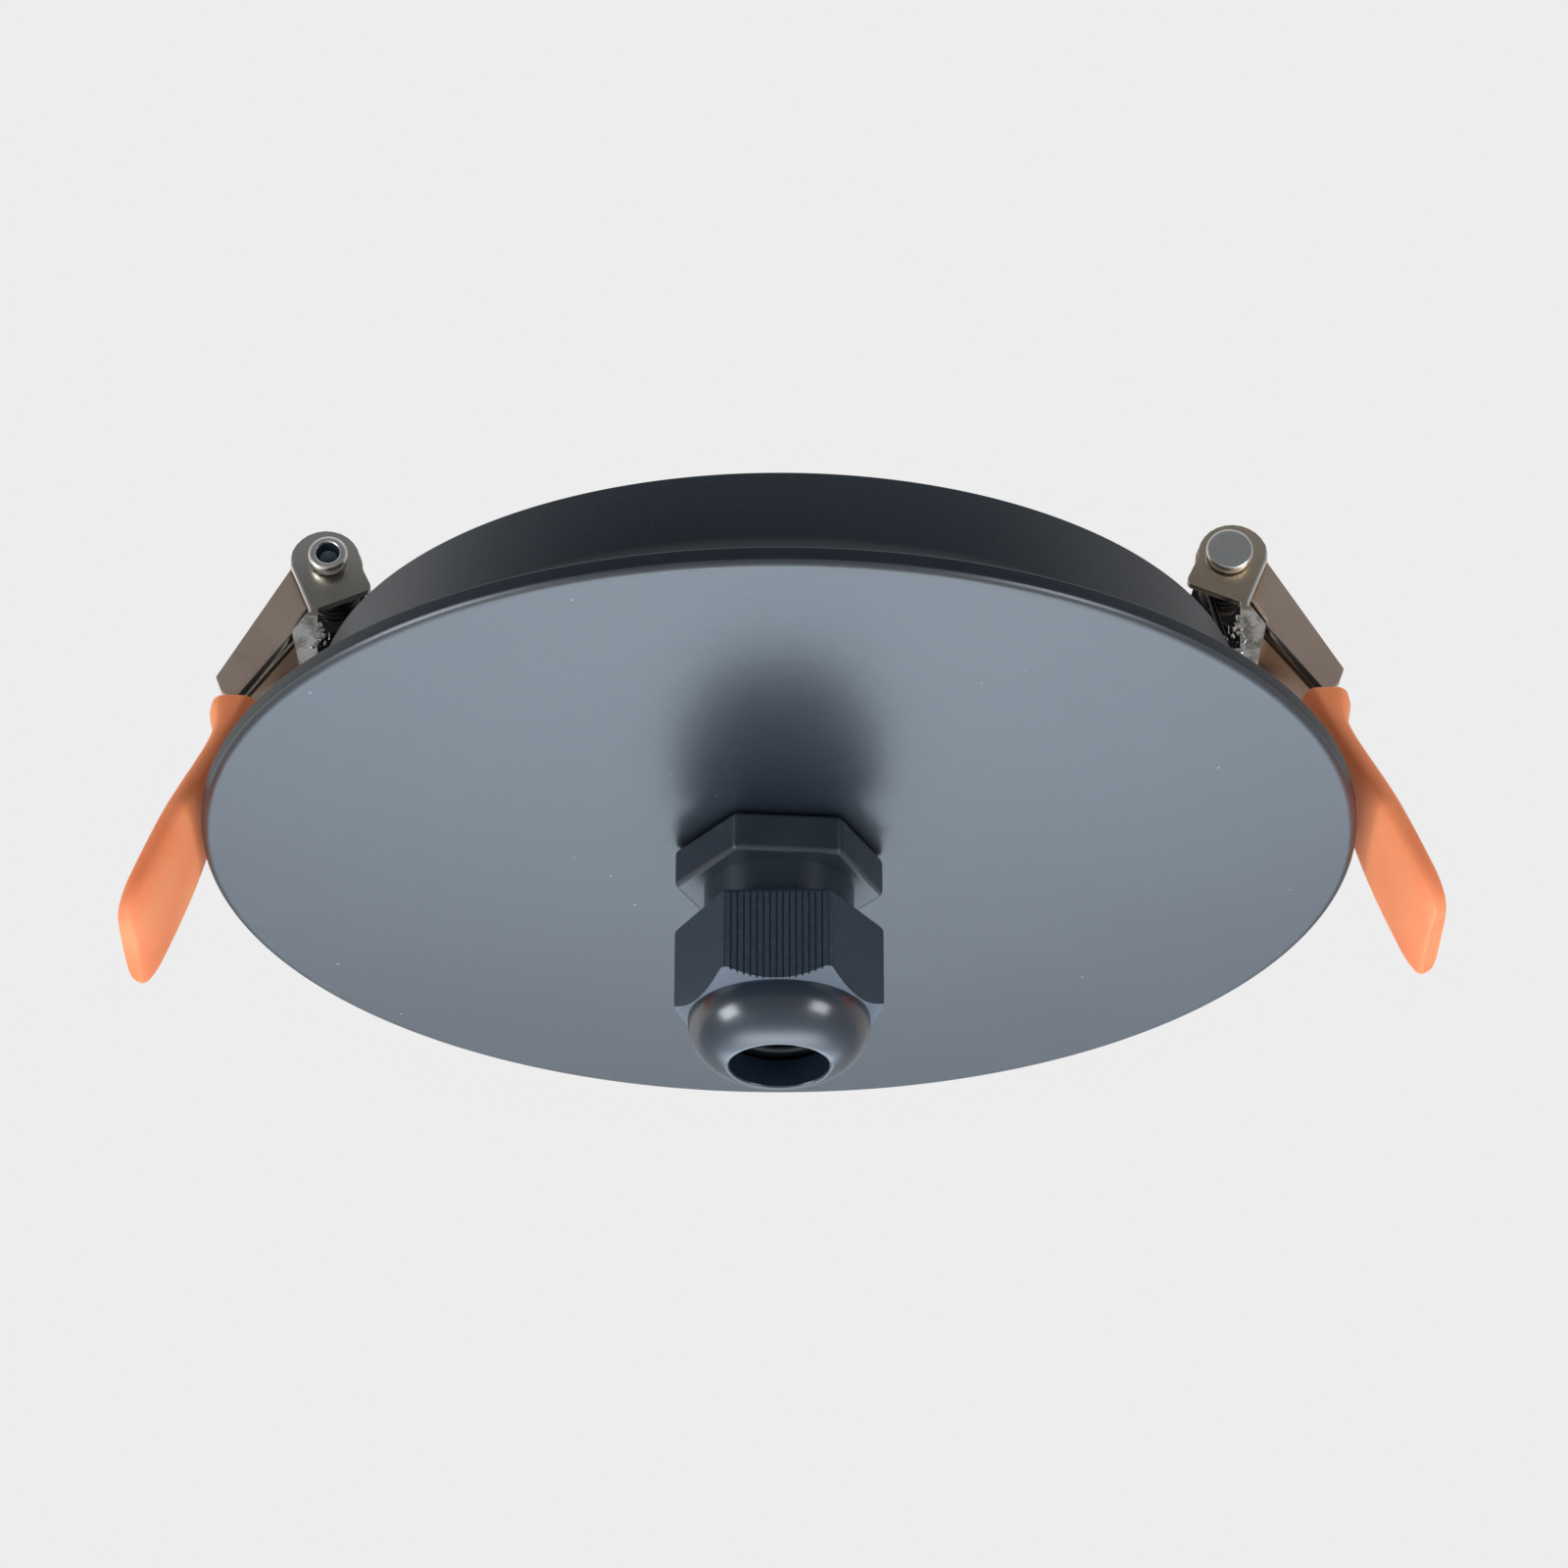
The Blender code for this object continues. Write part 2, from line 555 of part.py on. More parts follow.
def make_clip(side, turn, lean, lift, steel, bright, spring_steel, plastic):
    mount = bpy.data.objects.new(side + "_clip_mount", None)
    mount.location = Matrix.Rotation(turn, 3, "Z") @ Vector((PIVOT_OUT, 0, PIVOT_UP + lift))
    mount.rotation_euler.z = turn
    pivot = bpy.data.objects.new(side + "_arm_pivot", None)
    pivot.parent = mount
    pivot.rotation_euler.y = math.pi / 2 - ARM_LEAN - lean
    for empty in (mount, pivot):
        empty.empty_display_size = 0.01
        bpy.context.collection.objects.link(empty)
    make_bracket(side + "_clip_bracket", steel, mount)
    make_rivet(side + "_clip_rivet", bright, mount)
    make_spring(side + "_clip_spring", spring_steel, mount, lean)
    make_arm(side + "_clip_arm", steel, pivot)
    make_sleeve(side + "_clip_sleeve", plastic, pivot)


def main():
    for obj in list(bpy.data.objects):
        bpy.data.objects.remove(obj, do_unlink=True)

    coat = material("plate_coat", (0.20, 0.23, 0.27), 0.42, 0.3)
    ring_coat = material("ring_coat", (0.030, 0.035, 0.042), 0.45, 0.3)
    nylon = material("gland_nylon", (0.022, 0.027, 0.033), 0.38, 0.0)
    rubber = material("seal_rubber", (0.012, 0.013, 0.015), 0.7, 0.0)
    steel = material("clip_steel", (0.42, 0.35, 0.29), 0.28, 1.0)
    bright = material("rivet_steel", (0.62, 0.61, 0.58), 0.25, 1.0)
    wire = material("spring_wire", (0.50, 0.48, 0.45), 0.3, 1.0)
    plastic = material("sleeve_plastic", (0.93, 0.24, 0.09), 0.45, 0.0)

    make_plate(coat)
    make_ring(ring_coat)
    make_gland_body(nylon)
    make_locknut(nylon)
    make_seal(rubber)
    make_dome_nut(nylon)
    for side, (turn, lean, lift) in CLIPS.items():
        make_clip(side, turn, lean, lift, steel, bright, wire, plastic)
    bpy.context.view_layer.update()


main()
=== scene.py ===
import json
import math

import bpy
from mathutils import Matrix, Vector


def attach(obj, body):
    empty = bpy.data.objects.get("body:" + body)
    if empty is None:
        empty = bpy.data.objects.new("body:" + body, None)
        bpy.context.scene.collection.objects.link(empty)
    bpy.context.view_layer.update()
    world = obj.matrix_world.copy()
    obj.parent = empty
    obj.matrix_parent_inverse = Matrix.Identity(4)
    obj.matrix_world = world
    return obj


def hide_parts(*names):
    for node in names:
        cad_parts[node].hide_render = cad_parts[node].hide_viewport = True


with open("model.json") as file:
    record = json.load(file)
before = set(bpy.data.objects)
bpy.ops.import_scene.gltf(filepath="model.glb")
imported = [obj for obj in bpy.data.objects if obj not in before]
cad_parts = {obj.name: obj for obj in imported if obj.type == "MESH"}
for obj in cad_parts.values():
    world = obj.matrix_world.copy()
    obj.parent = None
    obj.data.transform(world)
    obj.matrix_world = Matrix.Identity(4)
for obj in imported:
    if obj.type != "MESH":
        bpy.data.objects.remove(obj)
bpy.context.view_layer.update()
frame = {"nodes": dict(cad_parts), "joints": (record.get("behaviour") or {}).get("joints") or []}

# Recessed ceiling cover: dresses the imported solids. Metres, +Z up, the clips lie along X.
nodes = frame["nodes"]
hinges = {joint["name"]: joint for joint in frame["joints"]}


# Shader values

class Flow:
    # one output socket of a material, on which + - and * build nodes
    def __init__(self, tree, socket):
        self.tree, self.socket = tree, socket

    def node(self, kind, settings=None, output=0, **values):
        made = self.tree.nodes.new(kind)
        for key, value in (settings or {}).items():
            setattr(made, key, value)
        for key, value in values.items():
            self.feed(made.inputs[int(key[1:]) if key[1:].isdigit() else key.replace("_", " ")], value)
        return Flow(self.tree, made.outputs[output])

    def feed(self, socket, value):
        if isinstance(value, Flow):
            self.tree.links.new(value.socket, socket)
        elif socket.type == "VECTOR" and isinstance(value, (int, float)):
            socket.default_value = (value, value, value)
        elif socket.type == "RGBA":
            socket.default_value = (*value[:3], 1.0)
        else:
            socket.default_value = value

    def sum(self, operation, first, second):
        wide = any(isinstance(v, Flow) and v.socket.type in ("VECTOR", "RGBA") for v in (first, second))
        kind = "ShaderNodeVectorMath" if wide else "ShaderNodeMath"
        return self.node(kind, {"operation": operation}, i0=first, i1=second)

    def __add__(self, other):
        return self.sum("ADD", self, other)

    def __radd__(self, other):
        return self.sum("ADD", other, self)

    def __sub__(self, other):
        return self.sum("SUBTRACT", self, other)

    def __rsub__(self, other):
        return self.sum("SUBTRACT", other, self)

    def __mul__(self, other):
        return self.sum("MULTIPLY", self, other)

    def __rmul__(self, other):
        return self.sum("MULTIPLY", other, self)

    def facing(self):
        # the surface's normal, from the node that gives these coordinates
        return Flow(self.tree, self.socket.node.outputs["Normal"])

    def axis(self, letter):
        return self.node("ShaderNodeSeparateXYZ", output="XYZ".index(letter), Vector=self)

    def between(self, low, high):
        # 0 below low, 1 above high, smooth in between
        return self.node("ShaderNodeMapRange", {"interpolation_type": "SMOOTHSTEP"},
                         Value=self, From_Min=low, From_Max=high)

    def blend(self, under, over):
        # self is the share of the second colour
        return self.node("ShaderNodeMix", {"data_type": "RGBA"}, output=2, i0=self, i6=under, i7=over)

    def noise(self, scale, detail=3.0, roughness=0.5, stretch=(1.0, 1.0, 1.0)):
        return self.node("ShaderNodeTexNoise", Vector=self * stretch if stretch != (1.0, 1.0, 1.0) else self,
                         Scale=scale, Detail=detail, Roughness=roughness)

    def dots(self, scale, size):
        # 1 inside small round specks, 0 elsewhere
        cells = self.node("ShaderNodeTexVoronoi", {"feature": "F1"}, Vector=self, Scale=scale)
        return 1 - cells.between(size * 0.6, size)

    def bump(self, height, strength, distance):
        return self.node("ShaderNodeBump", Height=height, Strength=strength, Distance=distance)


def startFinish(name, fixed):
    # a new material with its Principled shader's fixed values, and the flow of Object coordinates
    finish = bpy.data.materials.new(name)
    finish.use_nodes = True
    tree = finish.node_tree
    shader = tree.nodes["Principled BSDF"]
    for key, value in fixed.items():
        shader.inputs[key].default_value = value
    places = Flow(tree, tree.nodes.new("ShaderNodeTexCoord").outputs["Object"])
    return finish, shader, places


def makeCoat(name, look):
    # satin powder coat: fine orange peel, faint clouds and a few specks of dust
    finish, shader, places = startFinish(name, {"IOR": look["ior"], "Coat Roughness": 0.32})
    clouds = places.noise(38, 4, 0.55)
    grain = places.noise(2600, 2, 0.6)
    peel = places.noise(900, 2, 0.5)
    dustAndPaintedLight = places.dots(230, 0.045) * places.noise(60, 2).between(0.50, 0.60)
    paint = clouds.between(0.3, 0.7).blend(look["dark"], look["light"])
    paint = (grain.between(0.35, 0.7) * look["speckle"]).blend(paint, look["fleck"])
    paint = (dustAndPaintedLight * 0.5).blend(paint, look["dustAndPaintedLight"])
    if "band" in look:
        # painted light: a soft pale band low on the front of the wall, blended towards the dust colour,
        # stands for light bounced onto the wall from the plate
        height = places.axis("Z")
        band = height.between(0.0048, 0.0060) * (1 - height.between(0.0067, 0.0080))
        band = band * (0 - places.axis("Y")).between(0.020, 0.040)
        paint = (band * look["band"]).blend(paint, look["dustAndPaintedLight"])
    places.feed(shader.inputs["Base Color"], paint)
    places.feed(shader.inputs["Roughness"], look["rough"] + grain * 0.08 + clouds * 0.05 - 0.065)
    places.feed(shader.inputs["Normal"], places.bump(peel + grain * 0.5, 0.35, look["peel"]))
    return finish


def makeNylon(name, look):
    # moulded black nylon: soft sheen, fine grain, faint flow marks and rubbed edges
    finish, shader, places = startFinish(name, {"IOR": 1.53, "Coat Roughness": 0.22})
    grain = places.noise(2200, 3, 0.6)
    flowMarks = places.noise(210, 4, 0.6, (1.0, 1.0, 0.25))
    patches = places.noise(look["patch"], 3, 0.5)
    base = patches.between(0.3, 0.75).blend(look["dark"], look["light"])
    base = ((flowMarks.between(0.55, 0.75)) * 0.35).blend(base, look["pale"])
    places.feed(shader.inputs["Base Color"], base)
    places.feed(shader.inputs["Coat Weight"], look["coat"] * patches.between(0.2, 0.8))
    places.feed(shader.inputs["Roughness"], look["rough"] + flowMarks * 0.18 + grain * 0.06 - 0.12)
    places.feed(shader.inputs["Normal"], places.bump(grain * 0.6 + flowMarks, 0.4, 0.00003))
    return finish


def makeNutNylon(name, look):
    # ribbed flats are satin, the turned cone below them is rough, with a painted reflection of the floor
    # below making it pale, the dome is polished
    finish, shader, places = startFinish(name, {"IOR": 1.5, "Coat Roughness": 0.21, "Coat IOR": 1.7})
    height = places.axis("Z")
    dome = 1 - height.between(look["domeTop"] - 0.0002, look["domeTop"] + 0.0001)
    cone = (0 - places.facing().axis("Z")).between(0.25, 0.45) * (1 - dome)
    grain = places.noise(2200, 3, 0.6)
    fuzz = places.noise(650, 4, 0.7)
    base = grain.between(0.3, 0.75).blend(look["dark"], look["light"])
    base = dome.blend(base, look["domeColor"])
    # painted reflection: the downward-facing cone turns pale; its roughness and fuzz are its own
    base = (cone * (0.75 + fuzz * 0.4)).blend(base, look["cone"])
    places.feed(shader.inputs["Base Color"], base)
    places.feed(shader.inputs["Coat Weight"], dome * look["coat"])
    places.feed(shader.inputs["Roughness"], look["rough"] - dome * 0.08 + cone * 0.12 + grain * 0.06 - 0.03)
    places.feed(shader.inputs["Normal"], places.bump(grain * (1 - dome * 0.8) + fuzz * cone, 0.4, 0.00004))
    return finish


def makeRubber(name, look):
    # soft black rubber with a fine even grain
    finish, shader, places = startFinish(name, {"IOR": 1.5})
    grain = places.noise(1500, 3)
    places.feed(shader.inputs["Base Color"], grain.between(0.3, 0.7).blend(look["dark"], look["light"]))
    places.feed(shader.inputs["Roughness"], look["rough"] + grain * 0.16)
    places.feed(shader.inputs["Normal"], places.bump(grain, 0.3, 0.00003))
    return finish


# the painted shade between two facing flanges fades out over this width
paintedShadeFade = 0.0002


def platedSteel(places, look):
    # rolling lines along the sheet, soft stains, finger marks
    lines = places.noise(420, 4, 0.6, look["grain"])
    stains = places.noise(120, 4, 0.55)
    marks = places.noise(330, 3, 0.6)
    plate = stains.between(0.32, 0.72).blend(look["dark"], look["light"])
    plate = (marks.between(0.6, 0.75) * 0.4).blend(plate, look["stain"])
    rough = look["rough"] + lines * 0.16 + marks * 0.08 - 0.11
    metal = 1.0 - stains.between(0.6, 0.8) * 0.12
    if "insideY" in look:
        # painted shade: near-black, matte and hardly metallic where two flanges face each other
        sideways, across = places.facing().axis("Y"), places.axis("Y")
        near, far = look["insideY"] ** 2, (look["insideY"] + paintedShadeFade) ** 2
        inside = (sideways * sideways).between(0.4, 0.6) * (1 - (across * across).between(near, far))
        plate = inside.blend(plate, look["paintedShade"])
        metal = metal * (1 - inside * 0.9)
        rough = rough + inside * 0.30
    return plate, rough, lines, metal


def makeNickel(name, look):
    # plated steel, also used for bare and zinc-plated metal with other values
    finish, shader, places = startFinish(name, {})
    plate, rough, lines, metal = platedSteel(places, look)
    places.feed(shader.inputs["Base Color"], plate)
    places.feed(shader.inputs["Metallic"], metal)
    places.feed(shader.inputs["Roughness"], rough)
    places.feed(shader.inputs["Normal"], places.bump(lines, 0.25, 0.00003))
    return finish


def makeEarNickel(name, look):
    # lighter at the rounded top, which is painted light; pale and lumpy where it was welded; painted shade
    # between the two ears
    finish, shader, places = startFinish(name, {})
    plate, rough, lines, metal = platedSteel(places, look)
    height = places.axis("Z") - look["pivotZ"]
    near, far = look["insideY"] ** 2, (look["insideY"] + paintedShadeFade) ** 2
    outer = (places.axis("Y") * places.axis("Y")).between(near, far)
    lumps = places.noise(620, 4, 0.7)
    # painted light: the outer faces grow lighter towards the rounded top
    top = height.between(-0.0045, 0.0025) * outer
    weld = (1 - (height + lumps * 0.0016).between(-0.0062, -0.0056)) * outer
    plate = top.blend(plate, look["top"])
    plate = weld.blend(plate, lumps.between(0.35, 0.6).blend(look["weldDark"], look["weldPale"]))
    places.feed(shader.inputs["Base Color"], plate)
    places.feed(shader.inputs["Metallic"], metal * (1 - weld * 0.35))
    places.feed(shader.inputs["Roughness"], rough + weld * 0.10)
    places.feed(shader.inputs["Normal"], places.bump(lines * 0.2 + lumps * weld * 3.0, 0.35, 0.00010))
    return finish


def makeVinyl(name, look):
    # soft orange dip coat: slightly see-through at depth, dull patches, small dents; a faint glow in its own
    # colour and a brighter colour towards the top are painted light that lifts its shade
    finish, shader, places = startFinish(name, {"IOR": 1.40, "Subsurface Weight": 0.35,
                                                "Subsurface Radius": (0.0016, 0.0006, 0.0003),
                                                "Subsurface Scale": 1.0, "Emission Strength": 0.10})
    clouds = places.noise(70, 4, 0.55)
    grain = places.noise(1700, 3, 0.6)
    dents = places.noise(260, 2, 0.5)
    base = clouds.between(0.3, 0.7).blend(look["deep"], look["bright"])
    base = (dents.between(0.58, 0.75) * 0.25).blend(base, look["pale"])
    # painted light: brighter, redder towards the top, against the shade near the plate
    base = (places.axis("Z").between(-0.012, 0.012) * 0.8).blend(base, look["mouth"])
    places.feed(shader.inputs["Base Color"], base)
    # the faint glow in the coat's own colour is painted light
    places.feed(shader.inputs["Emission Color"], base)
    places.feed(shader.inputs["Roughness"], look["rough"] + clouds * 0.12 + grain * 0.06 - 0.09)
    places.feed(shader.inputs["Normal"], places.bump(dents + grain * 0.15, 0.35, 0.00006))
    return finish


finishes = {
    "plateCoat": makeCoat("plateCoat", {
        "dark": (0.008, 0.013, 0.021), "light": (0.012, 0.018, 0.028), "fleck": (0.028, 0.037, 0.050),
        "dustAndPaintedLight": (0.42, 0.44, 0.46),
        "speckle": 0.35, "rough": 0.345, "ior": 1.80, "peel": 0.00003}),
    # the same powder coat as the face, made darker and duller for the rim: painted shade
    "paintedShadeEdgeCoat": makeCoat("paintedShadeEdgeCoat", {
        "dark": (0.008, 0.014, 0.021), "light": (0.011, 0.018, 0.027), "fleck": (0.020, 0.027, 0.034),
        "dustAndPaintedLight": (0.30, 0.31, 0.32), "speckle": 0.3, "rough": 0.40, "ior": 1.45, "peel": 0.00003}),
    "ringCoat": makeCoat("ringCoat", {
        "dark": (0.011, 0.019, 0.028), "light": (0.016, 0.025, 0.035), "fleck": (0.030, 0.037, 0.046),
        # the band value is the strength of the painted light band; the dust colour here also paints that band
        "dustAndPaintedLight": (0.30, 0.31, 0.32), "band": 0.2,
        "speckle": 0.3, "rough": 0.34, "ior": 1.5, "peel": 0.00003}),
    "glandNylon": makeNylon("glandNylon", {
        "dark": (0.020, 0.029, 0.041), "light": (0.034, 0.046, 0.062), "pale": (0.10, 0.12, 0.15),
        "patch": 95, "coat": 0.35, "rough": 0.36}),
    "wornNylon": makeNylon("wornNylon", {
        "dark": (0.024, 0.032, 0.042), "light": (0.30, 0.33, 0.37), "pale": (0.50, 0.53, 0.58),
        "patch": 430, "coat": 0.2, "rough": 0.42}),
    "nutNylon": makeNutNylon("nutNylon", {
        "dark": (0.032, 0.047, 0.065), "light": (0.047, 0.067, 0.091), "domeColor": (0.010, 0.018, 0.032),
        # the pale cone colour is a painted reflection of the floor
        "cone": (0.145, 0.175, 0.220), "domeTop": -0.02135, "coat": 0.55, "rough": 0.34}),
    "sealRubber": makeRubber("sealRubber", {
        "dark": (0.004, 0.006, 0.008), "light": (0.010, 0.013, 0.016), "rough": 0.34}),
    # One nickel plating on both brackets: the right one's warmer, brighter colours against the left one's
    # greyer ones are painted light from the sides, the top colours are painted light on the rounded tops, and
    # the near-black between the ears is painted shade.
    "leftNickel": makeEarNickel("leftNickel", {
        "dark": (0.42, 0.39, 0.33), "light": (0.54, 0.49, 0.42), "stain": (0.30, 0.25, 0.20),
        "pivotZ": 0.0295, "top": (0.74, 0.68, 0.60), "weldDark": (0.34, 0.31, 0.27),
        "weldPale": (0.92, 0.88, 0.82),
        "paintedShade": (0.012, 0.013, 0.013), "insideY": 0.0052, "grain": (1.0, 1.0, 0.12), "rough": 0.27}),
    "rightNickel": makeEarNickel("rightNickel", {
        "dark": (0.60, 0.455, 0.31), "light": (0.72, 0.56, 0.39), "stain": (0.42, 0.31, 0.21),
        "pivotZ": 0.0303, "top": (0.80, 0.66, 0.50), "weldDark": (0.36, 0.31, 0.26),
        "weldPale": (0.92, 0.86, 0.78),
        "paintedShade": (0.008, 0.014, 0.016), "insideY": 0.0052, "grain": (1.0, 1.0, 0.12), "rough": 0.27}),
    # the arm's plating turns near-black between its two flanges: painted shade
    "armNickel": makeNickel("armNickel", {
        "dark": (0.72, 0.54, 0.43), "light": (0.83, 0.63, 0.50), "stain": (0.56, 0.40, 0.31),
        "paintedShade": (0.012, 0.013, 0.013), "insideY": 0.0041, "grain": (1.0, 1.0, 0.12), "rough": 0.43}),
    # dark steel for the arm's rounded folds: painted shade
    "paintedShadeFold": makeNickel("paintedShadeFold", {
        "dark": (0.13, 0.12, 0.11), "light": (0.20, 0.185, 0.165), "stain": (0.07, 0.065, 0.06),
        "grain": (1.0, 1.0, 0.12), "rough": 0.30}),
    # bare steel on the cut and softened edges, made far paler than the plating as a painted highlight
    "cutSteelHighlight": makeNickel("cutSteelHighlight", {
        "dark": (0.80, 0.76, 0.70), "light": (0.95, 0.92, 0.88), "stain": (0.62, 0.56, 0.50),
        "grain": (0.2, 1.0, 1.0), "rough": 0.24}),
    "rivetZinc": makeNickel("rivetZinc", {
        "dark": (0.67, 0.64, 0.60), "light": (0.81, 0.785, 0.745), "stain": (0.50, 0.47, 0.43),
        "grain": (1.0, 1.0, 1.0), "rough": 0.28}),
    # the dark inside of the rivet's hollow tail: painted shade
    "paintedShadeRivetHole": makeNickel("paintedShadeRivetHole", {
        "dark": (0.10, 0.135, 0.165), "light": (0.17, 0.215, 0.25), "stain": (0.05, 0.07, 0.09),
        "grain": (1.0, 1.0, 1.0), "rough": 0.42}),
    # near-black spring wire: painted shade, so the coil under the ear reads as the dark gap there
    "springWirePaintedShade": makeNickel("springWirePaintedShade", {
        "dark": (0.030, 0.028, 0.026), "light": (0.060, 0.056, 0.052), "stain": (0.09, 0.08, 0.07),
        "grain": (1.0, 0.2, 1.0), "rough": 0.38}),
    "weldMetal": makeNickel("weldMetal", {
        "dark": (0.40, 0.37, 0.34), "light": (0.72, 0.69, 0.65), "stain": (0.16, 0.13, 0.11),
        "grain": (1.0, 1.0, 1.0), "rough": 0.33}),
    "sleeveVinyl": makeVinyl("sleeveVinyl", {
        "deep": (0.85, 0.215, 0.078), "bright": (0.93, 0.285, 0.122), "pale": (0.94, 0.34, 0.17),
        # the colour for the upper part is painted light
        "mouth": (1.0, 0.31, 0.13), "rough": 0.55}),
}
print("finishes:", len(finishes))

# Modelling helpers

def editMode(on):
    bpy.ops.object.mode_set(mode="EDIT" if on else "OBJECT")


def pickOnly(*pieces):
    bpy.ops.object.select_all(action="DESELECT")
    for piece in pieces:
        piece.select_set(True)
    bpy.context.view_layer.objects.active = pieces[0]


def settle(piece, finish, angle=32, flatFaces=False):
    # place goes into the mesh, then shading and the main finish
    pickOnly(piece)
    bpy.ops.object.transform_apply(location=True, rotation=True, scale=True)
    bpy.ops.object.shade_smooth_by_angle(angle=math.radians(angle))
    if flatFaces:
        applyModifier(piece, "WEIGHTED_NORMAL", keep_sharp=True, weight=90)
    if finish and not piece.data.materials:
        piece.data.materials.append(finishes[finish])
    return piece


def applyModifier(piece, kind, **values):
    pickOnly(piece)
    modifier = piece.modifiers.new(kind.title(), kind)
    for key, value in values.items():
        setattr(modifier, key, value)
    bpy.ops.object.modifier_apply(modifier=modifier.name)


def combine(piece, other, operation):
    applyModifier(piece, "BOOLEAN", operation=operation, solver="EXACT", object=other)
    bpy.data.objects.remove(other, do_unlink=True)


def arc(cx, cz, radius, start, end, steps):
    # outline points along a round stretch, angles in degrees
    turns = [math.radians(start + (end - start) * i / steps) for i in range(steps + 1)]
    return [(cx + radius * math.cos(t), cz + radius * math.sin(t)) for t in turns]


def turnedPiece(name, outline, segments, closed=True):
    # a circle drawn out along (radius, height) points; an open outline gets a flat cap at both ends
    bpy.ops.object.select_all(action="DESELECT")
    bpy.ops.mesh.primitive_circle_add(vertices=segments, radius=outline[0][0],
                                      fill_type="NOTHING" if closed else "NGON")
    piece = bpy.context.object
    piece.name = piece.data.name = name
    editMode(True)
    bpy.ops.mesh.select_all(action="SELECT")
    bpy.ops.transform.translate(value=(0, 0, outline[0][1]))
    steps = list(zip(outline, outline[1:] + (outline[:1] if closed else [])))
    for (radius, height), (nextRadius, nextHeight) in steps:
        if not closed and (radius, height) == outline[0]:
            bpy.ops.mesh.select_mode(type="EDGE")
        bpy.ops.mesh.extrude_region_move(TRANSFORM_OT_translate={"value": (0, 0, nextHeight - height)})
        share = nextRadius / radius
        bpy.ops.transform.resize(value=(share, share, 1), center_override=(0, 0, nextHeight))
    bpy.ops.mesh.select_all(action="SELECT")
    bpy.ops.mesh.remove_doubles(threshold=0.0000005)
    bpy.ops.mesh.normals_make_consistent(inside=False)
    editMode(False)
    return piece


def hexPiece(name, acrossFlats, corner, low, high, turn):
    # six-sided block with its upright edges softened
    bpy.ops.object.select_all(action="DESELECT")
    bpy.ops.mesh.primitive_cylinder_add(vertices=6, radius=acrossFlats / 2 / math.cos(math.pi / 6),
                                        depth=high - low, location=(0, 0, (low + high) / 2),
                                        rotation=(0, 0, math.pi / 6 + turn))
    piece = bpy.context.object
    piece.name = piece.data.name = name
    pickOnly(piece)
    bpy.ops.object.transform_apply(location=True, rotation=True, scale=True)
    for edge in piece.data.edges:
        a, b = (piece.data.vertices[i].co for i in edge.vertices)
        edge.select = abs(a.z - b.z) > 0.0005
    editMode(True)
    bpy.ops.mesh.select_mode(type="EDGE")
    bpy.ops.mesh.bevel(offset=corner, segments=4, affect="EDGES")
    editMode(False)
    return piece


def fromNode(name, nodeName, join=0.000004, flat=1.0):
    # an own merged copy of a CAD node, with its flat faces whole again
    piece = nodes[nodeName].copy()
    piece.data = nodes[nodeName].data.copy()
    bpy.context.scene.collection.objects.link(piece)
    piece.name = piece.data.name = name
    for key in list(piece.keys()):
        del piece[key]
    piece.parent = None
    piece.data.materials.clear()
    pickOnly(piece)
    if piece.data.has_custom_normals:
        bpy.ops.mesh.customdata_custom_splitnormals_clear()
    editMode(True)
    bpy.ops.mesh.select_all(action="SELECT")
    bpy.ops.mesh.remove_doubles(threshold=join)
    if flat:
        bpy.ops.mesh.dissolve_limited(angle_limit=math.radians(flat))
    else:
        bpy.ops.mesh.tris_convert_to_quads(face_threshold=math.radians(60), shape_threshold=math.radians(60))
    editMode(False)
    return piece


def place(piece, body, slot, *replaced):
    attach(piece, body)
    if replaced:
        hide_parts(*replaced)
    return piece


# Plate and ring

plateSizes = {"radius": 0.0600, "thick": 0.0020, "hole": 0.0079, "faceRound": 0.0009, "backRound": 0.0002,
              "segments": 240}
ringSizes = {"radius": 0.0485, "low": 0.0003, "high": 0.0151, "sheet": 0.0010, "bend": 0.0016,
             "flange": 0.0085, "lip": 0.0002, "segments": 240}


def makePlate(size):
    radius, face, back = size["radius"], size["faceRound"], size["backRound"]
    outline = arc(radius - back, -back, back, 90, 0, 5)
    outline += arc(radius - face, face - size["thick"], face, 0, -90, 10)
    outline += [(size["hole"], -size["thick"]), (size["hole"], 0.0)]
    plate = turnedPiece("facePlate", outline, size["segments"])
    plate.data.materials.append(finishes["plateCoat"])
    plate.data.materials.append(finishes["paintedShadeEdgeCoat"])
    # the rim all round takes the darker copy of the coat: painted shade
    for part in plate.data.polygons:
        if abs(part.normal.z) < 0.3 and part.center.xy.length > size["hole"] * 2:
            part.material_index = 1
    return place(settle(plate, None), "cover", "plate_coat", "face_plate")


def makeRing(size):
    radius, low, sheet, bend, lip = size["radius"], size["low"], size["sheet"], size["bend"], size["lip"]
    outline = arc(radius - sheet + lip, size["high"] - lip, lip, 180, 90, 3)
    outline += arc(radius - lip, size["high"] - lip, lip, 90, 0, 3)
    outline += arc(radius - bend, low + bend, bend, 0, -90, 8)
    outline += [(radius - size["flange"], low), (radius - size["flange"], low + sheet)]
    outline += arc(radius - bend, low + bend, bend - sheet, -90, 0, 5)
    ring = settle(turnedPiece("recessRing", outline, size["segments"]), "ringCoat")
    return place(ring, "cover", "ring_coat", "recess_ring")


makePlate(plateSizes)
makeRing(ringSizes)
print("plate and ring done")

# Cable gland

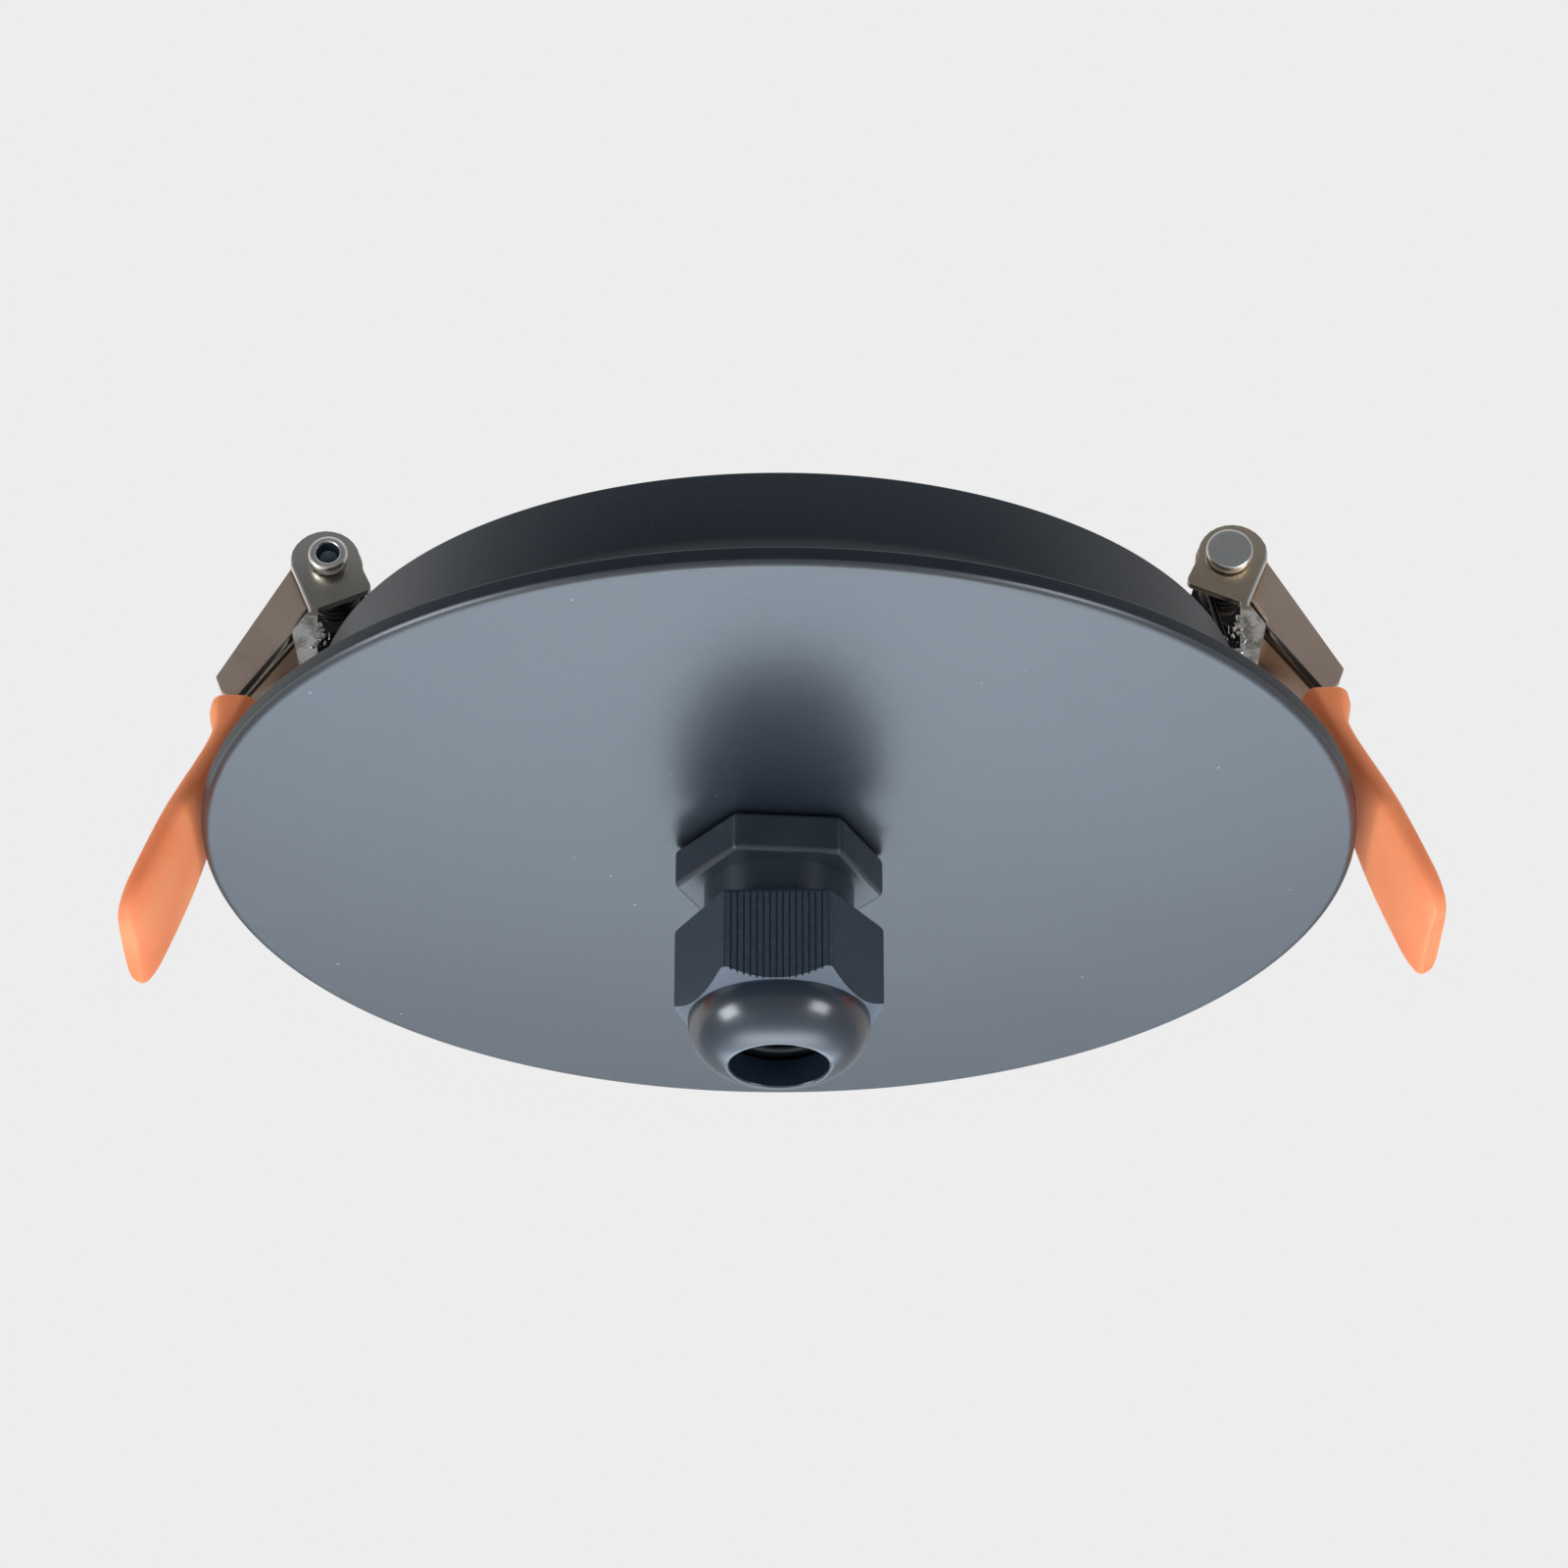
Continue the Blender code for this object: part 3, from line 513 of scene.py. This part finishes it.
glandSizes = {"acrossFlats": 0.0190, "corner": 0.0006, "top": -0.0023, "flangeLow": -0.00665,
              "turn": math.radians(5.5), "wornEdge": 0.00005, "flangeBore": 0.0063, "boreDeep": 0.010,
              "threadR": 0.0076, "threadUp": 0.0085, "threadDeep": 0.0007, "pitch": 0.0015,
              "flank": 0.42, "lift": 0.2, "endDeep": 0.0009, "endHigh": 0.0004,
              "neckR": 0.0078, "shoulder": 0.002, "neckLow": -0.01475, "bore": 0.0050,
              "clawTop": -0.01505, "clawLow": -0.02025, "clawStep": 0.0006, "clawTipR": 0.0066,
              "clawInR": 0.0058, "ledge": -0.01205, "slots": 4, "slot": (0.030, 0.0010, 0.0092),
              "segments": 128}
nutSizes = {"acrossFlats": 0.0190, "corner": 0.0006, "top": -0.01085, "hexLow": -0.02125,
            "turn": math.radians(-1.6), "domeR": 0.0094, "domeArc": 0.0053, "band": 0.0003,
            "coneSlope": 1.05, "hole": 0.0051, "holeRound": 0.0003, "holeDeep": 0.0020,
            "innerR": 0.0069, "innerTop": -0.0205, "bore": 0.0081, "boreLow": -0.0184,
            "spare": 0.0005, "spareTop": 0.0002, "ribs": 17, "ribDeep": 0.00015, "ribShare": 0.26,
            "segments": 160}
sealSizes = {"bore": 0.0041, "outer": 0.0055, "lip": 0.0063, "top": -0.01235, "lipTop": -0.02055,
             "low": -0.02295, "chamfer": 0.0003, "mouthRound": 0.0005, "segments": 96}
locknutSizes = {"softEdge": 0.00015}


def cutRibs(nut, size):
    # fine upright grooves on every other flat
    flat = size["acrossFlats"] * math.tan(math.pi / 6) * 1.03
    pitch = flat / size["ribs"]
    bpy.ops.object.select_all(action="DESELECT")
    bpy.ops.mesh.primitive_cube_add(size=1.0, location=(-flat / 2 + pitch / 2, -size["acrossFlats"] / 2,
                                                        size["hexLow"] + 0.0201))
    groove = bpy.context.object
    groove.scale = (pitch * size["ribShare"], size["ribDeep"] * 2, 0.04)
    pickOnly(groove)
    bpy.ops.object.transform_apply(location=True, rotation=True, scale=True)
    applyModifier(groove, "ARRAY", count=size["ribs"], use_relative_offset=False, use_constant_offset=True,
                  constant_offset_displace=(pitch, 0, 0))
    for side in range(3):
        comb = groove.copy()
        comb.data = groove.data.copy()
        bpy.context.scene.collection.objects.link(comb)
        pickOnly(comb)
        bpy.ops.object.origin_set(type="ORIGIN_CURSOR")
        comb.matrix_world = Matrix.Rotation(side * 2 * math.pi / 3 + size["turn"], 4, "Z") @ comb.matrix_world
        combine(nut, comb, "DIFFERENCE")
    bpy.data.objects.remove(groove, do_unlink=True)


def makeNut(size):
    # a ribbed hexagon cut down to a turned envelope: cone, short band, dome, rounded hole and bore
    domeR, domeArc, top = size["domeR"], size["domeArc"], size["top"]
    hole, holeRound = size["hole"], size["holeRound"]
    lowest = size["hexLow"] - size["band"]
    nut = hexPiece("domeNut", size["acrossFlats"], size["corner"], lowest - 2 * domeArc, top, size["turn"])
    cutRibs(nut, size)
    wide = size["acrossFlats"] / 2 / math.cos(math.pi / 6) + size["spare"]
    coneTop = size["hexLow"] + (wide - domeR) * size["coneSlope"]
    end = 90 - math.degrees(math.asin((hole + holeRound - domeR + domeArc) / domeArc))
    outline = [(size["bore"], top + size["spareTop"]), (wide, top + size["spareTop"]),
               (wide, coneTop), (domeR, size["hexLow"])]
    outline += arc(domeR - domeArc, lowest, domeArc, 0, -end, 20)
    low = outline[-1][1]
    outline += arc(hole + holeRound, low + holeRound, holeRound, -110, -180, 4)
    outline += [(hole, lowest - size["holeDeep"]), (size["innerR"], lowest - size["holeDeep"]),
                (size["innerR"], size["innerTop"]), (size["bore"], size["boreLow"])]
    combine(nut, turnedPiece("nutEnvelope", outline, size["segments"]), "INTERSECT")
    return place(settle(nut, "nutNylon", 28, True), "dome_nut", "gland_nylon", "gland_dome_nut")


def makeThread(size):
    # one turn of a thread flank drawn up the stem with the screw modifier
    turns = int(size["threadUp"] / size["pitch"]) - 1
    flank = size["pitch"] * size["flank"]
    bpy.ops.object.select_all(action="DESELECT")
    bpy.ops.mesh.primitive_circle_add(vertices=4, radius=flank, rotation=(math.pi / 2, 0, 0),
                                      location=(size["threadR"] - flank, 0, size["pitch"] * size["lift"]))
    thread = bpy.context.object
    thread.name = thread.data.name = "stemThread"
    pickOnly(thread)
    bpy.ops.object.transform_apply(location=True, rotation=True, scale=True)
    applyModifier(thread, "SCREW", angle=2 * math.pi, screw_offset=size["pitch"], iterations=turns, steps=72,
                  render_steps=72, use_merge_vertices=True, merge_threshold=0.000001)
    return thread


def makeGlandBody(size):
    # turned stem, neck and claws, then the hexagon flange with worn edges, the slots and the thread
    threadR, core = size["threadR"], size["threadR"] - size["threadDeep"]
    outline = [(size["bore"], size["threadUp"]), (threadR - size["endDeep"], size["threadUp"]),
               (core, size["threadUp"] - size["endHigh"]), (core, 0.0),
               (threadR, -size["endHigh"]), (threadR, size["top"]),
               (size["neckR"], size["flangeLow"] + size["shoulder"]), (size["neckR"], size["neckLow"]),
               (threadR - size["clawStep"], size["clawTop"]), (size["clawTipR"], size["clawLow"]),
               (size["clawInR"], size["clawLow"]), (size["clawInR"], size["ledge"]),
               (size["bore"], size["ledge"])]
    body = turnedPiece("glandBody", outline, size["segments"])
    flange = hexPiece("flange", size["acrossFlats"], size["corner"], size["flangeLow"], size["top"],
                      size["turn"])
    for piece in (body, flange):
        piece.data.materials.append(finishes["glandNylon"])
        piece.data.materials.append(finishes["wornNylon"])
    applyModifier(flange, "BEVEL", width=size["wornEdge"], segments=2, limit_method="ANGLE",
                  angle_limit=math.radians(50), material=1)
    cutter = [(size["flangeBore"], 0.0), (size["flangeBore"], -size["boreDeep"])]
    combine(flange, turnedPiece("flangeBore", cutter, 96, closed=False), "DIFFERENCE")
    combine(body, flange, "UNION")
    for i in range(size["slots"]):
        bpy.ops.object.select_all(action="DESELECT")
        bpy.ops.mesh.primitive_cube_add(size=1.0, location=(0, 0, size["clawLow"]),
                                        rotation=(0, 0, i * math.pi / size["slots"]))
        slot = bpy.context.object
        slot.scale = size["slot"]
        combine(body, slot, "DIFFERENCE")
    thread = makeThread(size)
    pickOnly(body, thread)
    bpy.ops.object.join()
    return place(settle(body, "glandNylon", 25, True), "cover", "gland_nylon", "gland_body")


def makeSeal(size):
    # rubber sleeve with a lip that is rounded at its outer and inner rim
    bore, outer, lip = size["bore"], size["outer"], size["lip"]
    chamfer, mouth = size["chamfer"], size["mouthRound"]
    top, lipTop, low = size["top"], size["lipTop"], size["low"]
    outline = [(bore + chamfer, top), (outer - chamfer, top), (outer, top - chamfer), (outer, lipTop),
               (lip, lipTop)]
    outline += arc(lip - chamfer, low + chamfer, chamfer, 0, -90, 4)
    outline += arc(bore + mouth, low + mouth, mouth, -90, -180, 5)
    outline += [(bore, top - chamfer)]
    seal = settle(turnedPiece("glandSeal", outline, size["segments"]), "sealRubber")
    return place(seal, "seal", "seal_rubber", "gland_seal")


def makeLocknut(size):
    locknut = fromNode("glandLocknut", "gland_locknut")
    applyModifier(locknut, "BEVEL", width=size["softEdge"], segments=2, limit_method="ANGLE",
                  angle_limit=math.radians(40))
    return place(settle(locknut, "glandNylon", 50, True), "cover", "gland_nylon", "gland_locknut")


makeGlandBody(glandSizes)
makeNut(nutSizes)
makeSeal(sealSizes)
makeLocknut(locknutSizes)
print("gland done")

# Spring clips

clipSizes = {"softEdge": 0.00014, "rivetR": 0.0015, "headR": 0.0025, "headHigh": 0.0011, "tailR": 0.0021,
             "tailHigh": 0.0017, "earFace": 0.0060, "gap": 0.0003, "holeR": 0.0012, "brokenEdge": 0.00036}
# weld places are measured from the arm's pivot, outwards along X and up along Z
weldSizes = {"beads": 13, "drops": 44, "beadR": 0.00036, "dropR": 0.00013, "rough": 0.00040,
             "lump": 0.0009, "front": -0.0058, "beadX": 0.0009, "beadWander": 0.0003,
             "beadTop": -0.0078, "beadRun": 0.0065, "dropX": 0.0006, "dropSpread": 0.0034,
             "dropTop": -0.0090, "dropRun": 0.0030, "dropSway": 0.0012}
sleeveSizes = {"rim": 0.0225, "sharp": 32, "end": 0.0462, "endCrease": 0.45}


def makeBracket(side, size):
    bracket = fromNode(side + "ClipBracket", side + "_clip_bracket")
    bracket.data.materials.append(finishes[side + "Nickel"])
    bracket.data.materials.append(finishes["cutSteelHighlight"])
    # the sheared outer edge of the near ear is broken wider and shines; its pale edge colour is a painted
    # highlight
    pivot = Vector(hinges[side + "_arm_swing"]["pos_m"])
    editMode(True)
    bpy.ops.mesh.select_mode(type="EDGE")
    bpy.ops.mesh.select_all(action="DESELECT")
    editMode(False)
    for edge in bracket.data.edges:
        ends = [bracket.data.vertices[i].co - pivot for i in edge.vertices]
        edge.select = all(abs(end.y + size["earFace"]) < 0.0001 and end.x * pivot.x > 0.00004
                          and -0.0068 < end.z < 0.0006 for end in ends)
    editMode(True)
    bpy.ops.mesh.bevel(offset=size["brokenEdge"], segments=3, affect="EDGES", material=1)
    editMode(False)
    applyModifier(bracket, "BEVEL", width=size["softEdge"], segments=2, limit_method="ANGLE",
                  angle_limit=math.radians(50), material=1, use_clamp_overlap=True)
    return place(settle(bracket, None, 60, True), "cover", "clip_steel", side + "_clip_bracket")


def makeArm(side, size):
    arm = fromNode(side + "ClipArm", side + "_clip_arm")
    arm.data.materials.append(finishes["armNickel"])
    arm.data.materials.append(finishes["cutSteelHighlight"])
    arm.data.materials.append(finishes["paintedShadeFold"])
    applyModifier(arm, "BEVEL", width=size["softEdge"] * 0.8, segments=2, limit_method="ANGLE",
                  angle_limit=math.radians(50), material=1, use_clamp_overlap=True)
    # the rounded folds beside the web are painted dark: painted shade
    for face in arm.data.polygons:
        if face.material_index == 0 and 0.12 < abs(face.normal.y) < 0.985:
            face.material_index = 2
    return place(settle(arm, None, 60, True), side + "_arm", "clip_steel", side + "_clip_arm")


def makeWeld(side, size):
    # rough bead where the near ear stands on the ring, and drops of spatter, which hang clear of the ring
    pivot = Vector(hinges[side + "_arm_swing"]["pos_m"])
    out = math.copysign(1, pivot.x)
    beads, front = size["beads"], size["front"]
    drops = []
    for i in range(size["drops"]):
        wander, sway = math.sin(i * 5.3), math.cos(i * 2.7)
        bpy.ops.object.select_all(action="DESELECT")
        if i < beads:
            along = i / (beads - 1)
            across = out * (size["beadX"] + size["beadWander"] * wander)
            spot = pivot + Vector((across, front, size["beadTop"] - size["beadRun"] * along))
            bpy.ops.mesh.primitive_ico_sphere_add(subdivisions=4, radius=size["beadR"] * (0.8 + 0.3 * sway),
                                                  location=spot)
            bpy.context.object.scale = (1.0, 0.8, 1.6)
        else:
            along = (i - beads) / (size["drops"] - beads - 1)
            across = out * (size["dropX"] - size["dropSpread"] * along * (0.6 + 0.4 * wander))
            height = size["dropTop"] - size["dropRun"] * along + size["dropSway"] * sway
            spot = pivot + Vector((across, front - 0.0003 * sway, height))
            bpy.ops.mesh.primitive_ico_sphere_add(subdivisions=2, radius=size["dropR"] * (0.7 + 0.5 * wander),
                                                  location=spot)
            bpy.context.object.scale = (0.6, 0.6, 2.2 + 1.6 * sway)
        drop = bpy.context.object
        drop.rotation_euler = (0.4 * wander, out * (0.9 * wander - 0.5), 0)
        drops.append(drop)
    pickOnly(*drops)
    bpy.ops.object.join()
    weld = bpy.context.object
    weld.name = weld.data.name = side + "ClipWeld"
    pickOnly(weld)
    bpy.ops.object.transform_apply(location=True, rotation=True, scale=True)
    lumps = bpy.data.textures.new(side + "Lumps", "CLOUDS")
    lumps.noise_scale, lumps.noise_depth = size["lump"], 3
    applyModifier(weld, "DISPLACE", texture=lumps, strength=size["rough"], mid_level=0.5)
    return place(settle(weld, "weldMetal", 40), "cover", "clip_steel")


def makeRivet(side, size):
    # a turned rivet with a soft head and a hollow, rolled tail
    seat = size["earFace"] + size["gap"]
    head, tail = seat + size["headHigh"], -seat - size["tailHigh"]
    hole, rim = size["holeR"], size["tailR"]
    outline = [(0.0002, head), (size["headR"] - 0.0005, head - 0.00004)]
    outline += arc(size["headR"] - 0.0004, head - 0.00044, 0.0004, 80, 0, 6)
    outline += [(size["headR"], seat + 0.0001), (size["headR"] - 0.0001, seat), (size["rivetR"], seat),
                (size["rivetR"], -seat), (rim - 0.0002, -seat - 0.0001), (rim, -seat - 0.0004)]
    outline += arc(rim - 0.0005, tail + 0.0005, 0.0005, 0, -90, 6)
    outline += arc(hole + 0.0003, tail + 0.0003, 0.0003, -90, -180, 5)
    outline += [(hole - 0.0001, tail + 0.0008), (hole - 0.0003, tail + 0.0013), (0.0001, tail + 0.0016)]
    rivet = turnedPiece(side + "ClipRivet", outline, 48, closed=False)
    rivet.data.materials.append(finishes["rivetZinc"])
    rivet.data.materials.append(finishes["paintedShadeRivetHole"])
    # the inside of the hollow tail takes the dark finish: painted shade
    for face in rivet.data.polygons:
        if face.center.z < tail + 0.0017 and face.center.xy.length < hole:
            face.material_index = 1
    pivot = Vector(hinges[side + "_arm_swing"]["pos_m"])
    turn = math.pi if side == "left" else 0
    rivet.matrix_world = (Matrix.Translation(pivot) @ Matrix.Rotation(turn, 4, "Z")
                          @ Matrix.Rotation(math.pi / 2, 4, "X"))
    return place(settle(rivet, "rivetZinc", 40), "cover", "rivet_steel", side + "_clip_rivet")


def makeSpring(side):
    spring = fromNode(side + "ClipSpring", side + "_clip_spring", flat=0)
    applyModifier(spring, "SUBSURF", levels=2, render_levels=2)
    return place(settle(spring, "springWirePaintedShade", 80), "cover", "spring_wire", side + "_clip_spring")


def makeSleeve(side, size):
    # the mouth's rim and the square end stay crisp when the rest is rounded off
    sleeve = fromNode(side + "ClipSleeve", side + "_clip_sleeve", flat=0)
    pivot = Vector(hinges[side + "_arm_swing"]["pos_m"])
    reach = [(vertex.co - pivot).length for vertex in sleeve.data.vertices]
    editMode(True)
    bpy.ops.mesh.select_mode(type="EDGE")
    bpy.ops.mesh.select_all(action="DESELECT")
    bpy.ops.mesh.edges_select_sharp(sharpness=math.radians(size["sharp"]))
    editMode(False)
    crease = sleeve.data.attributes.new("crease_edge", "FLOAT", "EDGE")
    for edge in sleeve.data.edges:
        ends = [reach[i] for i in edge.vertices]
        if edge.select and max(ends) < size["rim"]:
            crease.data[edge.index].value = 1.0
        elif min(ends) > size["end"]:
            crease.data[edge.index].value = size["endCrease"]
    applyModifier(sleeve, "SUBSURF", levels=2, render_levels=2)
    return place(settle(sleeve, "sleeveVinyl", 50), side + "_arm", "sleeve_plastic", side + "_clip_sleeve")


for side in ("left", "right"):
    makeBracket(side, clipSizes)
    makeArm(side, clipSizes)
    makeRivet(side, clipSizes)
    makeSpring(side)
    makeSleeve(side, sleeveSizes)
    makeWeld(side, weldSizes)
print("clips done")

# Floor, light and camera

studio = {"floorZ": -0.42, "floorWide": 12, "sky": 0.847,
          "dim": (0.42, 0.43, 0.45), "front": (0.165, 0.18, 0.20), "left": (1.15, 1.08, 1.02),
          "right": (0.66, 0.59, 0.53), "above": (0.62, 0.63, 0.64)}
lamps = {
    "sweepLamp": {"spot": (0, 0.60, -0.25), "aim": (0, 0.59, -0.42), "wide": (0.56, 0.14),
                  "power": 3.5, "tint": (0.69, 0.84, 1.0)},
    "tableLamp": {"spot": (0, 0.13, -0.30), "aim": (0, 0.14, -0.42), "wide": (0.45, 0.22),
                  "power": 2.2, "tint": (0.84, 0.93, 1.0)},
    "leftBox": {"spot": (-0.66, -0.25, -0.27), "aim": (0, 0, -0.01), "wide": (0.30, 0.28),
                "power": 2.2, "tint": (0.88, 0.94, 1.0)},
    "rightBox": {"spot": (0.56, -0.41, -0.25), "aim": (0, 0, -0.01), "wide": (0.28, 0.26),
                 "power": 1.5, "tint": (0.88, 0.94, 1.0)},
}
lens = {"spot": (0.0, -0.55176, -0.28581), "tilt": math.radians(117.22), "length": 136.72, "sensor": 36.0,
        "shift": (0.0031, 0.0436)}


def makeFloor(size):
    bpy.ops.object.select_all(action="DESELECT")
    bpy.ops.mesh.primitive_plane_add(size=size["floorWide"], location=(0, 0, size["floorZ"]))
    floor = bpy.context.object
    floor.name = "studioFloor"
    finish, shader, places = startFinish("floorPaper", {})
    fibre = places.noise(40, 4)
    paper = fibre.between(0.3, 0.7).blend((0.84, 0.845, 0.85), (0.87, 0.87, 0.87))
    places.feed(shader.inputs["Base Color"], paper)
    places.feed(shader.inputs["Roughness"], 0.75 + fibre * 0.1)
    floor.data.materials.append(finish)


def makeSky(size):
    # darker in front, bright at both sides behind; the camera sees it as one even tone
    world = bpy.data.worlds.new("studioSky")
    bpy.context.scene.world = world
    world.use_nodes = True
    tree = world.node_tree
    tree.nodes.clear()
    way = Flow(tree, tree.nodes.new("ShaderNodeTexCoord").outputs["Generated"])
    front = (0 - way.axis("Y")).between(0.1, 0.75)
    aside = (way.axis("X") * way.axis("X")).between(0.12, 0.75)
    tone = front.blend(size["dim"], size["front"])
    aside = aside * way.axis("Y").between(-0.2, 0.25)
    beside = way.axis("X").between(-0.5, 0.5).blend(size["left"], size["right"])
    tone = (aside * 0.85).blend(tone, beside)
    tone = way.axis("Z").between(0.6, 0.95).blend(tone, size["above"])
    seen = way.node("ShaderNodeLightPath")
    even = way.node("ShaderNodeBackground", Color=(size["sky"],) * 3, Strength=1.0)
    lit = way.node("ShaderNodeBackground", Color=tone, Strength=1.0)
    mixed = way.node("ShaderNodeMixShader", i0=seen, i1=lit, i2=even)
    result = tree.nodes.new("ShaderNodeOutputWorld")
    tree.links.new(mixed.socket, result.inputs["Surface"])


def addLight(name, lamp):
    bpy.ops.object.select_all(action="DESELECT")
    bpy.ops.object.light_add(type="AREA", location=lamp["spot"])
    light = bpy.context.object
    light.name = name
    ray = Vector(lamp["aim"]) - Vector(lamp["spot"])
    light.rotation_euler = ray.to_track_quat("-Z", "Y").to_euler()
    light.data.shape = "RECTANGLE"
    light.data.size, light.data.size_y = lamp["wide"]
    light.data.energy = lamp["power"]
    light.data.color = lamp["tint"]
    light.visible_camera = False


def makeCamera(size):
    bpy.ops.object.select_all(action="DESELECT")
    bpy.ops.object.camera_add(location=size["spot"], rotation=(size["tilt"], 0, 0))
    camera = bpy.context.object
    camera.data.lens = size["length"]
    camera.data.sensor_width = size["sensor"]
    camera.data.shift_x, camera.data.shift_y = size["shift"]
    camera.data.clip_start, camera.data.clip_end = 0.01, 50
    bpy.context.scene.camera = camera


makeFloor(studio)
makeSky(studio)
for name, lamp in lamps.items():
    addLight(name, lamp)
makeCamera(lens)
bpy.context.scene.view_settings.view_transform = "Standard"
print("studio done")
